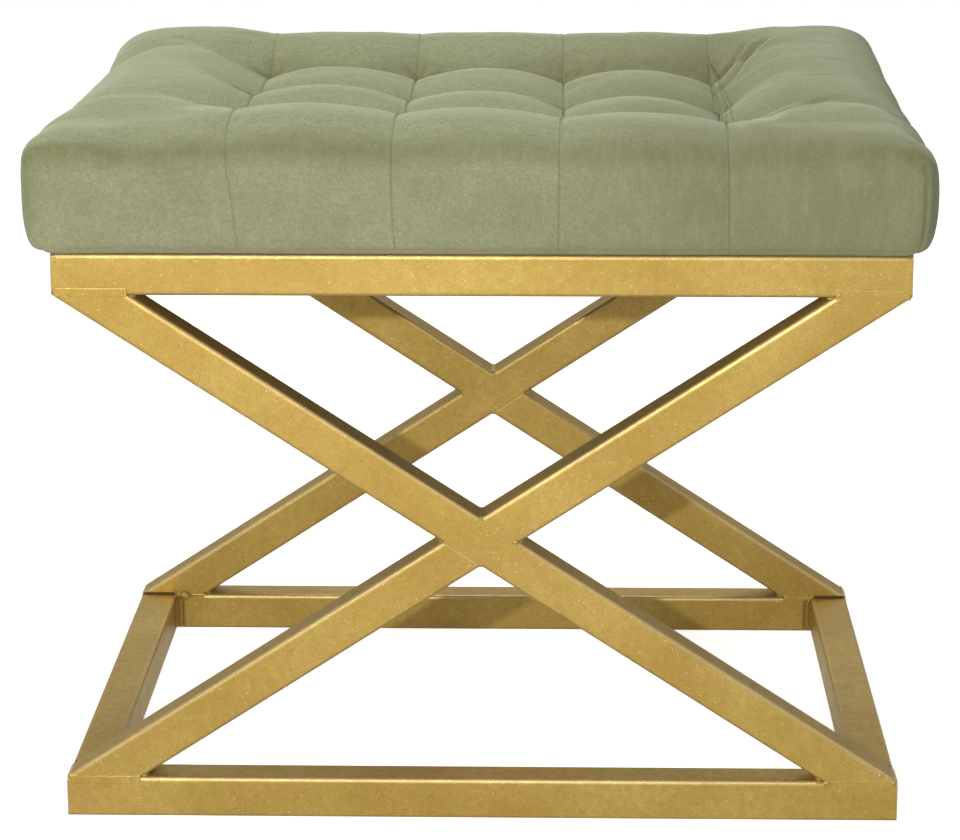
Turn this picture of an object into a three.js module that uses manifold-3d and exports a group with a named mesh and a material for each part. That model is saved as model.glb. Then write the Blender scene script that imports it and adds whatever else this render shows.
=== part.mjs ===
// An X frame stool: a welded square tube frame that carries a tufted velvet seat.
// Millimetres, +Z up, the front faces -Y. The origin is on the floor, under the middle of the seat.

import * as THREE from 'three';
import { mergeVertices } from 'three/addons/utils/BufferGeometryUtils.js';
import Module from 'manifold-3d';

const wasm = await Module();
wasm.setup();

// Frame: two upright X frames of square steel tube, joined by four side rails.
const frameWidth = 508;
const frameDepth = 406.4;
const frameHeight = 352;
const tubeSize = 25.4;
const tubeWall = 1.6;
const tubeCornerRadius = 2.4;
const endPlateThickness = 2;

// Clearances: the gap left at every welded or resting joint, and how far a cutting tool overruns.
const fitGap = 0.3;
const cutOverrun = 5;

// Weld beads in the inner corners of the frame.
const weldSize = 5;

// Seat board and what fastens it to the side rails.
const boardOverhang = 1;
const boardThickness = 12;
const screwInset = 73.2;
const screwShankDiameter = 4.8;
const screwShankClearance = 0.7;
const screwBite = 9;
const screwPointLength = 3;
const screwHeadDiameter = 10;
const screwHeadHeight = 3.4;
const washerDiameter = 14;
const washerThickness = 1.2;

// Upholstery: how thick each layer is and how the cushion swells, rolls over its edge and dips at its tufts.
const velvetThickness = 1.8;
const paddedThickness = 8;
const hemWidth = 42;
const cushionHeight = 83;
const middleSag = 10;
const frontSag = 6;
const sideBulge = 14;
const cushionCornerRadius = 16;
const edgeRollWidth = 60;
const edgeRollDepth = 46;
const tuftSpacing = 98;
const tuftColumns = 4;
const tuftRowNames = ['front', 'middle', 'back'];
const tuftRows = tuftRowNames.length;
const innerGrooveDepth = 11;
const outerGrooveDepth = 4;
const faceGrooveDepth = 2.5;
const swellShare = 0.7;
const sideFullnessShare = 1;
const cornerFullnessShare = 0.84;

// Tufting twine and the cloth under the seat.
const tieThickness = 2.4;
const tieHoleDiameter = 6;
const tieKnotDiameter = 9;
const tieKnotThickness = 1.4;
const tieBeadDiameter = 5;
const tieBeadHeight = 2;
const dustClothThickness = 1.6;
const dustClothInset = 2;

// Facets: steps on each kind of round.
const tubeCornerSteps = 3;
const seatCornerSteps = 2;
const roundSteps = 12;
const weldSteps = 2;
const smallRoundSteps = 8;
const screwDomeSteps = 3;

// Levels, from the floor up.
const railTop = frameHeight;
const railUnderside = frameHeight - tubeSize;
const dustClothBottom = railTop + fitGap;
const hemBottom = dustClothBottom + dustClothThickness + fitGap;
const boardBottom = hemBottom + velvetThickness + fitGap;
const boardTop = boardBottom + boardThickness;
const foamBottom = boardTop + fitGap;
const cushionTop = hemBottom + cushionHeight;
const cushionWaist = cushionTop - edgeRollDepth;

// Half sizes in plan.
const boardHalfWidth = frameWidth / 2 + boardOverhang;
const boardHalfDepth = frameDepth / 2 + boardOverhang;
const flatReach = fitGap + velvetThickness + sideBulge - edgeRollWidth;
const flatHalfWidth = boardHalfWidth + flatReach;
const flatHalfDepth = boardHalfDepth + flatReach;

const gold = new THREE.MeshStandardMaterial({ color: 0xc49a3c, roughness: 0.42, metalness: 0.75 });
const velvet = new THREE.MeshStandardMaterial({ color: 0x9aa37c, roughness: 0.95, metalness: 0 });
const foam = new THREE.MeshStandardMaterial({ color: 0xe9dfb8, roughness: 0.9, metalness: 0 });
const plywood = new THREE.MeshStandardMaterial({ color: 0xc9a877, roughness: 0.8, metalness: 0 });
const zincSteel = new THREE.MeshStandardMaterial({ color: 0xb9bcc0, roughness: 0.35, metalness: 0.9 });
const twine = new THREE.MeshStandardMaterial({ color: 0xd8cfb4, roughness: 0.9, metalness: 0 });
const blackCloth = new THREE.MeshStandardMaterial({ color: 0x1d1d1f, roughness: 0.95, metalness: 0 });

// Turns a closed geometry into a solid that can be cut.
function solidFrom(geometry) {
  const bare = geometry.clone();
  bare.deleteAttribute('normal');
  bare.deleteAttribute('uv');
  const merged = mergeVertices(bare);
  return new wasm.Manifold(new wasm.Mesh({
    numProp: 3,
    vertProperties: new Float32Array(merged.attributes.position.array),
    triVerts: new Uint32Array(merged.index.array),
  }));
}

// Turns a cut solid back into a geometry.
function geometryFrom(solid) {
  const mesh = solid.getMesh();
  const geometry = new THREE.BufferGeometry();
  geometry.setAttribute('position', new THREE.BufferAttribute(new Float32Array(mesh.vertProperties), 3));
  geometry.setIndex(new THREE.BufferAttribute(new Uint32Array(mesh.triVerts), 1));
  geometry.computeVertexNormals();
  return geometry;
}

function addMesh(group, name, geometry, material) {
  const mesh = new THREE.Mesh(geometry, material);
  mesh.name = name;
  group.add(mesh);
  return mesh;
}

// A rectangle with rounded corners, as a Shape or as a hole's Path.
function roundedRectangle(Kind, width, height, radius, steps) {
  const right = width / 2 - radius;
  const top = height / 2 - radius;
  const points = [];
  [[right, top], [-right, top], [-right, -top], [right, -top]].forEach(([x, y], quarter) => {
    for (let k = 0; k <= steps; k++) {
      const turn = (quarter + k / steps) * (Math.PI / 2);
      points.push(new THREE.Vector2(x + radius * Math.cos(turn), y + radius * Math.sin(turn)));
    }
  });
  return new Kind(points);
}

// A flat plate with rounded corners, from z = 0 up.
function plate(width, depth, thickness, radius, steps) {
  const shape = roundedRectangle(THREE.Shape, width, depth, radius, steps);
  return new THREE.ExtrudeGeometry(shape, { depth: thickness, bevelEnabled: false });
}

function box(width, depth, height) {
  return new THREE.BoxGeometry(width, depth, height);
}

// A round bar along Z, centred.
function bar(diameter, length, steps) {
  return new THREE.CylinderGeometry(diameter / 2, diameter / 2, length, steps).rotateX(Math.PI / 2);
}

// Drills a hole along Z at each place. Its middle is at the given level.
function drill(solid, places, { diameter, length, level, steps }) {
  let drilled = solid;
  for (const { x, y } of places) {
    drilled = drilled.subtract(solidFrom(bar(diameter, length, steps).translate(x, y, level)));
  }
  return drilled;
}

// Square tube

// A tube along X, centred. The solid one is the same bar without its bore, used to cut a neighbour to fit.
function tubeAlongX(length, grow = 0, hollow = true) {
  const size = tubeSize + 2 * grow;
  const shape = roundedRectangle(THREE.Shape, size, size, tubeCornerRadius + grow, tubeCornerSteps);
  if (hollow) {
    const bore = tubeSize - 2 * tubeWall;
    shape.holes.push(roundedRectangle(THREE.Path, bore, bore, tubeCornerRadius - tubeWall, tubeCornerSteps));
  }
  const straight = new THREE.ExtrudeGeometry(shape, { depth: length, bevelEnabled: false });
  return straight.translate(0, 0, -length / 2).rotateY(Math.PI / 2);
}

// X frames: in each, both braces lie in one plane. One runs through, and the other is cut in two and welded
// to it.

const braceRise = frameHeight - 2 * tubeSize;
const cornerAngle = Math.atan2(braceRise, frameWidth);
const braceAngle = cornerAngle + Math.asin(tubeSize / Math.hypot(braceRise, frameWidth));
const braceStock = 2 * Math.hypot(frameWidth, frameHeight);
const railCentre = tubeSize / 2;

// A brace through the middle of the frame. It falls to the right where side is 1, to the left where it is -1.
// Its lower edge meets the outer corner of each rail.
function braceAt(side, grow, hollow) {
  return tubeAlongX(braceStock, grow, hollow).rotateY(side * braceAngle).translate(0, 0, frameHeight / 2);
}

// Keeps what lies between two levels, and copes it round the two rails, as a weld ground flush does.
function copeToRails(solid, low, high) {
  const slab = box(2 * braceStock, 2 * tubeSize, high - low).translate(0, 0, (low + high) / 2);
  const sides = box(frameWidth, 2 * tubeSize, 2 * frameHeight);
  const railBar = tubeAlongX(frameWidth + 2 * cutOverrun, fitGap, false);
  return solid
    .intersect(solidFrom(slab))
    .intersect(solidFrom(sides))
    .subtract(solidFrom(railBar.clone().translate(0, 0, railCentre)))
    .subtract(solidFrom(railBar.clone().translate(0, 0, frameHeight - railCentre)));
}

function makeXFrame(label, side, y) {
  const frame = new THREE.Group();
  frame.position.y = y;

  const railLength = frameWidth - 2 * (endPlateThickness + fitGap);
  const levels = { top: frameHeight - railCentre, bottom: railCentre };
  for (const [level, z] of Object.entries(levels)) {
    addMesh(frame, `${label}_${level}_rail`, tubeAlongX(railLength), gold).position.z = z;
    for (const [end, sign] of [['left', -1], ['right', 1]]) {
      const cap = plate(tubeSize, tubeSize, endPlateThickness, tubeCornerRadius, tubeCornerSteps);
      cap.translate(0, 0, -endPlateThickness / 2).rotateY(Math.PI / 2);
      const mesh = addMesh(frame, `${label}_${level}_end_plate_${end}`, cap, gold);
      mesh.position.set(sign * (frameWidth - endPlateThickness) / 2, 0, z);
    }
  }

  const lowest = tubeSize - tubeCornerRadius;
  const highest = frameHeight - lowest;
  const middle = frameHeight / 2;
  const through = solidFrom(braceAt(side, 0, true));
  addMesh(frame, `${label}_brace_through`, geometryFrom(copeToRails(through, lowest, highest)), gold);

  const crossing = solidFrom(braceAt(side, fitGap, false));
  const halves = solidFrom(braceAt(-side, 0, true)).subtract(crossing);
  addMesh(frame, `${label}_brace_upper`, geometryFrom(copeToRails(halves, middle, highest)), gold);
  addMesh(frame, `${label}_brace_lower`, geometryFrom(copeToRails(halves, lowest, middle)), gold);
  return frame;
}

// Side rails: they butt against the inner faces of the X frames. The top ones are drilled for the seat
// screws.

const sideRailCentre = frameWidth / 2 - railCentre;
const screwPlaces = [
  ['front_left', -1, -1], ['front_right', 1, -1], ['back_left', -1, 1], ['back_right', 1, 1],
].map(([name, sx, sy]) => ({ name, x: sx * sideRailCentre, y: sy * (frameDepth / 2 - screwInset) }));

function makeSideRails() {
  const rails = new THREE.Group();
  const length = frameDepth - 2 * (tubeSize + fitGap);
  for (const [side, x] of [['left', -sideRailCentre], ['right', sideRailCentre]]) {
    const plain = tubeAlongX(length).rotateZ(Math.PI / 2);
    addMesh(rails, `${side}_bottom_rail`, plain, gold).position.set(x, 0, railCentre);

    const drilled = drill(solidFrom(plain.clone().translate(x, 0, 0)), screwPlaces.filter((p) => p.x === x), {
      diameter: screwShankDiameter + 2 * screwShankClearance,
      length: tubeSize + 2 * cutOverrun,
      level: 0,
      steps: roundSteps,
    });
    addMesh(rails, `${side}_top_rail`, geometryFrom(drilled), gold).position.z = frameHeight - railCentre;
  }
  return rails;
}

// A bead of weld up each inner corner, from the side rail's inner face to the X frame's: a triangle with a
// hollow long side, standing on the two faces.
function makeWeldBeads() {
  const beads = new THREE.Group();
  const height = tubeSize - 2 * tubeCornerRadius;
  const outline = new THREE.Shape();
  outline.moveTo(0, 0);
  outline.lineTo(weldSize, 0);
  outline.absarc(weldSize, weldSize, weldSize, -Math.PI / 2, -Math.PI, true);
  outline.closePath();
  const settings = { depth: height, bevelEnabled: false, curveSegments: weldSteps };
  const bead = new THREE.ExtrudeGeometry(outline, settings).translate(0, 0, -height / 2);
  const insideX = frameWidth / 2 - tubeSize;
  const insideY = frameDepth / 2 - tubeSize;
  for (const [level, z] of [['bottom', railCentre], ['top', frameHeight - railCentre]]) {
    [['front_left', -1, -1], ['front_right', 1, -1], ['back_right', 1, 1], ['back_left', -1, 1]]
      .forEach(([name, sx, sy], quarter) => {
        const mesh = addMesh(beads, `weld_${level}_${name}`, bead, gold);
        mesh.rotation.z = quarter * Math.PI / 2;
        mesh.position.set(sx * insideX, sy * insideY, z);
      });
  }
  return beads;
}

// Cushion form

// 0 on a line of tufts, 1 midway between two lines, and 1 again beyond the outer ones.
function swellAcross(position, lines) {
  const outer = tuftSpacing * (lines - 1) / 2;
  const beyond = Math.abs(position) - outer;
  const inside = ((position + outer) / tuftSpacing) % 1;
  const phase = beyond > 0 ? Math.min(1, 2 * beyond / tuftSpacing) / 2 : inside;
  return Math.max(0, Math.sin(Math.PI * phase)) ** swellShare;
}

// 0 among the tufts, rising to 1 at half a spacing beyond the outer line.
function marginShare(position, lines) {
  const beyond = Math.abs(position) - tuftSpacing * (lines - 1) / 2;
  return THREE.MathUtils.smoothstep(beyond, 0, tuftSpacing / 2);
}

// Top of the cushion, before its edge rolls over.
function topHeight(x, y) {
  const outX = marginShare(x, tuftColumns);
  const outY = marginShare(y, tuftRows);
  const sag = THREE.MathUtils.lerp(middleSag, y < 0 ? frontSag : 0, outY);
  const crown = cushionTop - sag * (1 - outX);
  const columnGroove = THREE.MathUtils.lerp(innerGrooveDepth, outerGrooveDepth, outY);
  const rowGroove = THREE.MathUtils.lerp(innerGrooveDepth, outerGrooveDepth, outX);
  const dips = columnGroove * (1 - swellAcross(x, tuftColumns)) + rowGroove * (1 - swellAcross(y, tuftRows));
  return crown - dips;
}

// Grid lines across the flat of the cushion: even steps between tufts, then even steps out to where the edge
// rolls.
function gridLines(lines, halfSize, steps) {
  const outer = tuftSpacing * (lines - 1) / 2;
  const places = [];
  for (let i = 0; i < steps; i++) places.push(THREE.MathUtils.lerp(-halfSize, -outer, i / steps));
  for (let i = 0; i < (lines - 1) * steps; i++) places.push(-outer + i * tuftSpacing / steps);
  for (let i = 0; i <= steps; i++) places.push(THREE.MathUtils.lerp(outer, halfSize, i / steps));
  return places;
}

// The rim of the grid, anticlockwise from above. A corner is given once for each direction it fans out in.
function rimStations(columns, rows) {
  const stations = [];
  const last = { column: columns.length - 1, row: rows.length - 1 };
  const fan = (column, row, from) => {
    for (let k = 0; k <= seatCornerSteps; k++) {
      stations.push({ column, row, angle: from + (Math.PI / 2) * (k / seatCornerSteps), corner: true });
    }
  };
  fan(0, 0, Math.PI);
  for (let c = 1; c < last.column; c++) stations.push({ column: c, row: 0, angle: 1.5 * Math.PI });
  fan(last.column, 0, 1.5 * Math.PI);
  for (let r = 1; r < last.row; r++) stations.push({ column: last.column, row: r, angle: 0 });
  fan(last.column, last.row, 0);
  for (let c = last.column - 1; c > 0; c--) stations.push({ column: c, row: last.row, angle: Math.PI / 2 });
  fan(0, last.row, Math.PI / 2);
  for (let r = last.row - 1; r > 0; r--) stations.push({ column: 0, row: r, angle: Math.PI });
  return stations;
}

// Rings from the flat down to the waist: a quarter of an ellipse, drawn in where a seam runs down the face.
function rollRings(skin, steps) {
  const rings = [];
  for (let k = 1; k <= steps; k++) {
    const turn = (Math.PI / 2) * (k / steps);
    rings.push((x, y, angle) => {
      const alongX = Math.abs(Math.cos(angle)) < Math.SQRT1_2;
      const [position, lines] = alongX ? [x, tuftColumns] : [y, tuftRows];
      const seam = faceGrooveDepth * (1 - swellAcross(position, lines));
      const nearCorner = marginShare(position, lines);
      const fullness = THREE.MathUtils.lerp(sideFullnessShare, cornerFullnessShare, nearCorner);
      const reach = (edgeRollWidth - skin - seam) * Math.sin(turn) ** fullness;
      const top = topHeight(x, y) - skin;
      return [reach, cushionWaist + (top - cushionWaist) * Math.max(0, Math.cos(turn)) ** fullness];
    });
  }
  return rings;
}

// Rings from the waist down to the hem, drawn in to the edge of the board.
function tuckRings(steps) {
  const rings = [];
  for (let k = 1; k <= steps; k++) {
    const turn = (Math.PI / 2) * (k / steps);
    rings.push(() => [
      edgeRollWidth - sideBulge * (1 - Math.cos(turn)),
      cushionWaist - (cushionWaist - hemBottom) * Math.sin(turn),
    ]);
  }
  return rings;
}

// A closed cushion: a grid on top, rings down its sides and a flat underside.
// skin is how far it lies inside the velvet, and steps the facets between two tufts.
function cushionBlock({ skin, steps, rings }) {
  const columns = gridLines(tuftColumns, flatHalfWidth, steps);
  const rows = gridLines(tuftRows, flatHalfDepth, steps);
  const points = [];
  const faces = [];
  for (const y of rows) for (const x of columns) points.push([x, y, topHeight(x, y) - skin]);
  const at = (column, row) => row * columns.length + column;
  for (let r = 0; r + 1 < rows.length; r++) {
    for (let c = 0; c + 1 < columns.length; c++) {
      const [a, b, d, e] = [at(c, r), at(c + 1, r), at(c + 1, r + 1), at(c, r + 1)];
      const slantsBack = (columns[c] + columns[c + 1]) * (rows[r] + rows[r + 1]) < 0;
      faces.push(...(slantsBack ? [[a, b, e], [b, d, e]] : [[a, b, d], [a, d, e]]));
    }
  }
  const stations = rimStations(columns, rows);
  let above = stations.map((s) => at(s.column, s.row));
  for (const ring of rings) {
    const below = stations.map((s) => {
      const [x, y] = [columns[s.column], rows[s.row]];
      const [reach, level] = ring(x, y, s.angle);
      const radius = Math.min(reach, cushionCornerRadius);
      const shift = s.corner ? reach - radius : 0;
      const spread = s.corner ? radius : reach;
      points.push([
        x + Math.sign(x) * shift + spread * Math.cos(s.angle),
        y + Math.sign(y) * shift + spread * Math.sin(s.angle),
        level,
      ]);
      return points.length - 1;
    });
    stations.forEach((_, i) => {
      const j = (i + 1) % stations.length;
      faces.push([above[i], below[i], below[j]]);
      if (above[i] !== above[j]) faces.push([above[i], below[j], above[j]]);
    });
    above = below;
  }
  const underside = points.length;
  points.push([0, 0, points[above[0]][2]]);
  above.forEach((a, i) => faces.push([a, underside, above[(i + 1) % above.length]]));

  const geometry = new THREE.BufferGeometry();
  geometry.setAttribute('position', new THREE.Float32BufferAttribute(points.flat(), 3));
  geometry.setIndex(faces.flat());
  return geometry;
}

const tuftPlaces = [];
tuftRowNames.forEach((row, r) => {
  for (let c = 0; c < tuftColumns; c++) {
    tuftPlaces.push({
      name: `${row}_${c + 1}`,
      x: (c - (tuftColumns - 1) / 2) * tuftSpacing,
      y: (r - (tuftRows - 1) / 2) * tuftSpacing,
    });
  }
});

// A plate with the outline of the seat board, inset all round.
function boardPlate(inset, thickness) {
  const width = 2 * (boardHalfWidth - inset);
  const depth = 2 * (boardHalfDepth - inset);
  return plate(width, depth, thickness, cushionCornerRadius, seatCornerSteps);
}

// Velvet with its wadding: the outer form less the hollow that the foam and board fill. Below, its hem is
// turned in round an open window.
function makeCover() {
  const outer = cushionBlock({ skin: 0, steps: 4, rings: [...rollRings(0, 4), ...tuckRings(2)] });
  const cavityReach = boardHalfWidth + fitGap - flatHalfWidth;
  const boardRings = [() => [cavityReach, foamBottom], () => [cavityReach, boardBottom - fitGap]];
  const rings = [...rollRings(paddedThickness, 2), ...boardRings];
  const hollow = cushionBlock({ skin: paddedThickness, steps: 2, rings });
  const windowDepth = velvetThickness + 2 * fitGap + cutOverrun;
  const window = boardPlate(hemWidth, windowDepth).translate(0, 0, boardBottom - windowDepth);
  const cover = solidFrom(outer).subtract(solidFrom(hollow)).subtract(solidFrom(window));
  return geometryFrom(drill(cover, screwPlaces, {
    diameter: screwShankDiameter + 2 * fitGap,
    length: 2 * cutOverrun,
    level: hemBottom,
    steps: smallRoundSteps,
  }));
}

function makeFoam() {
  const skin = paddedThickness + fitGap;
  const boardReach = boardHalfWidth - flatHalfWidth;
  const rings = [...rollRings(skin, 2), () => [boardReach, foamBottom]];
  const block = cushionBlock({ skin, steps: 2, rings });
  return geometryFrom(drill(solidFrom(block), tuftPlaces, {
    diameter: tieHoleDiameter,
    length: 2 * cushionHeight,
    level: cushionTop,
    steps: smallRoundSteps,
  }));
}

function makeBoard() {
  const blank = solidFrom(boardPlate(0, boardThickness).translate(0, 0, boardBottom));
  const tieHoled = drill(blank, tuftPlaces, {
    diameter: tieHoleDiameter,
    length: 3 * boardThickness,
    level: boardBottom,
    steps: smallRoundSteps,
  });
  return geometryFrom(drill(tieHoled, screwPlaces, {
    diameter: screwShankDiameter + 2 * fitGap,
    length: 2 * (screwBite + fitGap),
    level: boardBottom,
    steps: roundSteps,
  }));
}

// Revolves [radius, level] points about Z.
function revolve(profile, steps) {
  const points = profile.map(([radius, level]) => new THREE.Vector2(radius, level));
  return new THREE.LatheGeometry(points, steps).rotateX(Math.PI / 2);
}

// Twine from a knot under the board to a bead in the foam that draws the cover down.
function makeTie(x, y) {
  const knotBottom = boardBottom - fitGap - tieKnotThickness;
  const top = topHeight(x, y) - paddedThickness - fitGap;
  return revolve([
    [0, knotBottom],
    [tieKnotDiameter / 2, knotBottom],
    [tieKnotDiameter / 2, knotBottom + tieKnotThickness],
    [tieThickness / 2, knotBottom + tieKnotThickness],
    [tieThickness / 2, top - tieBeadHeight],
    [tieBeadDiameter / 2, top - tieBeadHeight],
    [tieBeadDiameter / 2, top - tieBeadHeight / 2],
    [0, top],
  ], smallRoundSteps);
}

function makeWasher() {
  const inner = screwShankDiameter / 2 + fitGap;
  const bottom = railUnderside - fitGap - washerThickness;
  return revolve([
    [inner, bottom],
    [washerDiameter / 2, bottom],
    [washerDiameter / 2, bottom + washerThickness],
    [inner, bottom + washerThickness],
    [inner, bottom],
  ], roundSteps);
}

// A pan head wood screw, driven up through washer, rail and hem into the board.
function makeScrew() {
  const headTop = railUnderside - washerThickness - 2 * fitGap;
  const headBottom = headTop - screwHeadHeight;
  const headRadius = screwHeadDiameter / 2;
  const tip = boardBottom + screwBite;
  const profile = [[0, headBottom]];
  for (let k = 1; k <= screwDomeSteps; k++) {
    const turn = (Math.PI / 2) * (k / screwDomeSteps);
    profile.push([headRadius * Math.sin(turn), headBottom + (screwHeadHeight / 2) * (1 - Math.cos(turn))]);
  }
  profile.push([headRadius, headTop]);
  profile.push([screwShankDiameter / 2, headTop]);
  profile.push([screwShankDiameter / 2, tip - screwPointLength]);
  profile.push([0, tip]);
  return revolve(profile, roundSteps);
}

// The cloth under the seat. It covers the raw edge of the hem, and its own folded edge shows as a dark line
// above the rails.
function makeDustCloth() {
  const width = frameWidth - 2 * dustClothInset;
  const depth = frameDepth - 2 * dustClothInset;
  const sheet = plate(width, depth, dustClothThickness, cushionCornerRadius, seatCornerSteps);
  return geometryFrom(drill(solidFrom(sheet.translate(0, 0, dustClothBottom)), screwPlaces, {
    diameter: screwShankDiameter + 2 * fitGap,
    length: 2 * cutOverrun,
    level: dustClothBottom,
    steps: smallRoundSteps,
  }));
}

function makeSeat() {
  const seat = new THREE.Group();
  addMesh(seat, 'velvet_cover', makeCover(), velvet);
  addMesh(seat, 'foam_block', makeFoam(), foam);
  addMesh(seat, 'seat_board', makeBoard(), plywood);
  addMesh(seat, 'dust_cloth', makeDustCloth(), blackCloth);
  for (const { name, x, y } of tuftPlaces) {
    addMesh(seat, `tuft_tie_${name}`, makeTie(x, y), twine).position.set(x, y, 0);
  }
  for (const { name, x, y } of screwPlaces) {
    addMesh(seat, `seat_washer_${name}`, makeWasher(), zincSteel).position.set(x, y, 0);
    addMesh(seat, `seat_screw_${name}`, makeScrew(), zincSteel).position.set(x, y, 0);
  }
  return seat;
}

const stool = new THREE.Group();
const xFrameCentre = (frameDepth - tubeSize) / 2;
stool.add(makeXFrame('front', 1, -xFrameCentre));
stool.add(makeXFrame('back', -1, xFrameCentre));
stool.add(makeSideRails());
stool.add(makeWeldBeads());
stool.add(makeSeat());

export default stool;
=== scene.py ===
"""An X frame stool: gold painted steel tube under a tufted velvet cushion. Metres, +Z up, the front faces -Y."""

import math

import bmesh
import bpy
import numpy as np
from mathutils import Euler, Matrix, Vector, noise
from mathutils.bvhtree import BVHTree


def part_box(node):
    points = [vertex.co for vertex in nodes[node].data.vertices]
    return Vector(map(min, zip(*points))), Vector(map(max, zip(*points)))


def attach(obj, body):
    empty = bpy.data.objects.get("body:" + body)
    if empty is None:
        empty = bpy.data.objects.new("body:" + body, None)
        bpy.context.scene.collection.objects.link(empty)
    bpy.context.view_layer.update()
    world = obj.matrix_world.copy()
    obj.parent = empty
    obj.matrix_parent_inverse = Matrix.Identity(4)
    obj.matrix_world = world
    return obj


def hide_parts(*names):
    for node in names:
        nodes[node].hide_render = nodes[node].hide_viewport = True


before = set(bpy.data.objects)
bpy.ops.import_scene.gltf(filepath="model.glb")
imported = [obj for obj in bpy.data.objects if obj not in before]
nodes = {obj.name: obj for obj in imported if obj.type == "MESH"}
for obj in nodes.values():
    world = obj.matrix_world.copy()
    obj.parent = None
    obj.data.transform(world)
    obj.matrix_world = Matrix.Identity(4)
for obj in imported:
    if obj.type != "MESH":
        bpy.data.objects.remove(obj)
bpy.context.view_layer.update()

MM = 0.001
quarter = math.pi / 2


def lerp(a, b, t):
    return a + (b - a) * t


def smooth(t):
    t = np.clip(t, 0, 1)
    return t * t * (3 - 2 * t)


# Camera: a pinhole fitted to the stool's tube edges in the photograph.

camera_place = Vector((44.9, -2141.4, 738.8)) * MM
camera_turn = (math.radians(75.904), 0.0012, math.radians(1.322))
camera_lens = 126.04


def add_camera():
    data = bpy.data.cameras.new("camera")
    data.lens = camera_lens
    data.sensor_width = 36
    data.clip_start = 0.1
    data.clip_end = 50
    camera = bpy.data.objects.new("camera", data)
    camera.location = camera_place
    camera.rotation_euler = Euler(camera_turn, "XYZ")
    bpy.context.scene.collection.objects.link(camera)
    bpy.context.scene.camera = camera


# Node trees

class Tree:
    """A short way to build a node tree. An input is (node, output), a node for its first output, or a value."""

    def __init__(self, owner):
        owner.use_nodes = True
        self.tree = owner.node_tree
        self.tree.nodes.clear()

    def node(self, kind, values=None, **settings):
        made = self.tree.nodes.new(kind)
        for name, value in settings.items():
            setattr(made, name, value)
        for name, value in (values or {}).items():
            self.set(made, name, value)
        return made

    def set(self, node, name, value):
        socket = node.inputs[name]
        if isinstance(value, tuple) and len(value) == 2 and isinstance(value[0], bpy.types.Node):
            self.tree.links.new(value[0].outputs[value[1]], socket)
        elif isinstance(value, bpy.types.Node):
            self.tree.links.new(value.outputs[0], socket)
        else:
            socket.default_value = value

    def shade(self, values):
        for name, value in values.items():
            self.set(self.shader, name, value)

    def math(self, operation, a, b):
        return self.node("ShaderNodeMath", {0: a, 1: b}, operation=operation)

    def mix(self, share, a, b):
        """Two colours mixed. They are the node's inputs 6 and 7, and the result is its output 2."""
        return self.node("ShaderNodeMix", {0: share, 6: a, 7: b}, data_type="RGBA"), 2

    def layer(self, tone, source, low, high, share, colour):
        """A colour laid over a tone: not at all where the source is low, and by its share where that is high."""
        return self.mix(self.ramp(source, low, high, 0.0, share), tone, rgba(*colour))

    def ramp(self, value, low, high, to_low=0.0, to_high=1.0):
        inputs = {"Value": value, "From Min": low, "From Max": high, "To Min": to_low, "To Max": to_high}
        return self.node("ShaderNodeMapRange", inputs, clamp=True)

    def axes(self, vector):
        return self.node("ShaderNodeSeparateXYZ", {"Vector": vector})

    def place(self, scale=(1, 1, 1)):
        return self.node("ShaderNodeMapping", {"Vector": (self.coordinates, "Object"), "Scale": scale})

    def noise(self, vector, scale, detail, roughness):
        inputs = {"Vector": vector, "Scale": scale, "Detail": detail, "Roughness": roughness}
        return self.node("ShaderNodeTexNoise", inputs)

    def bump(self, height, distance, strength, normal=None):
        inputs = {"Height": height, "Distance": distance, "Strength": strength}
        if normal is not None:
            inputs["Normal"] = normal
        return self.node("ShaderNodeBump", inputs)


def material(name, viewport):
    made = bpy.data.materials.new(name)
    made.diffuse_color = viewport
    tree = Tree(made)
    tree.coordinates = tree.node("ShaderNodeTexCoord")
    tree.shader = tree.node("ShaderNodeBsdfPrincipled")
    tree.node("ShaderNodeOutputMaterial", {"Surface": tree.shader})
    return made, tree


def rgba(red, green, blue):
    """Linear colour from the 0 to 255 values of a screen colour."""
    def linear(v):
        v /= 255
        return v / 12.92 if v <= 0.04045 else ((v + 0.055) / 1.055) ** 2.4
    return (linear(red), linear(green), linear(blue), 1)


# Stage: a plain pale floor, a world that is white behind the stool, and the lamps.

world_light = 0.16
world_in_gloss = 0.85
gloss_starts, gloss_is_full = 0.14, 0.28
floor_grey = 0.82
floor_glow = 0.83
floor_in_gloss = 0.48
floor_radius = 12
floor_level = -0.0004
lamp_target = (0, 0, 0.3)


def ray_that_shows(tree, in_gloss):
    """1 for the rays that show the backdrop itself, and less for those that show it in the paint's soft gloss."""
    path = tree.node("ShaderNodeLightPath")
    seen = tree.math("MAXIMUM", (path, "Is Camera Ray"), tree.math("MULTIPLY", (path, "Is Glossy Ray"), in_gloss))
    return tree.math("MAXIMUM", seen, (path, "Is Transmission Ray"))


def add_world():
    """White where it is seen, and dim as a light. Gloss shows it only from a little above the horizon."""
    world = bpy.data.worlds.new("studio")
    bpy.context.scene.world = world
    tree = Tree(world)
    way = tree.axes((tree.node("ShaderNodeTexCoord"), "Generated"))
    in_gloss = tree.ramp((way, "Z"), gloss_starts, gloss_is_full, 0.0, world_in_gloss)
    strength = tree.ramp(ray_that_shows(tree, in_gloss), 0, 1, world_light, 1.0)
    light = tree.node("ShaderNodeBackground", {"Color": (1, 1, 1, 1), "Strength": strength})
    tree.node("ShaderNodeOutputWorld", {"Surface": light})


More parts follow.
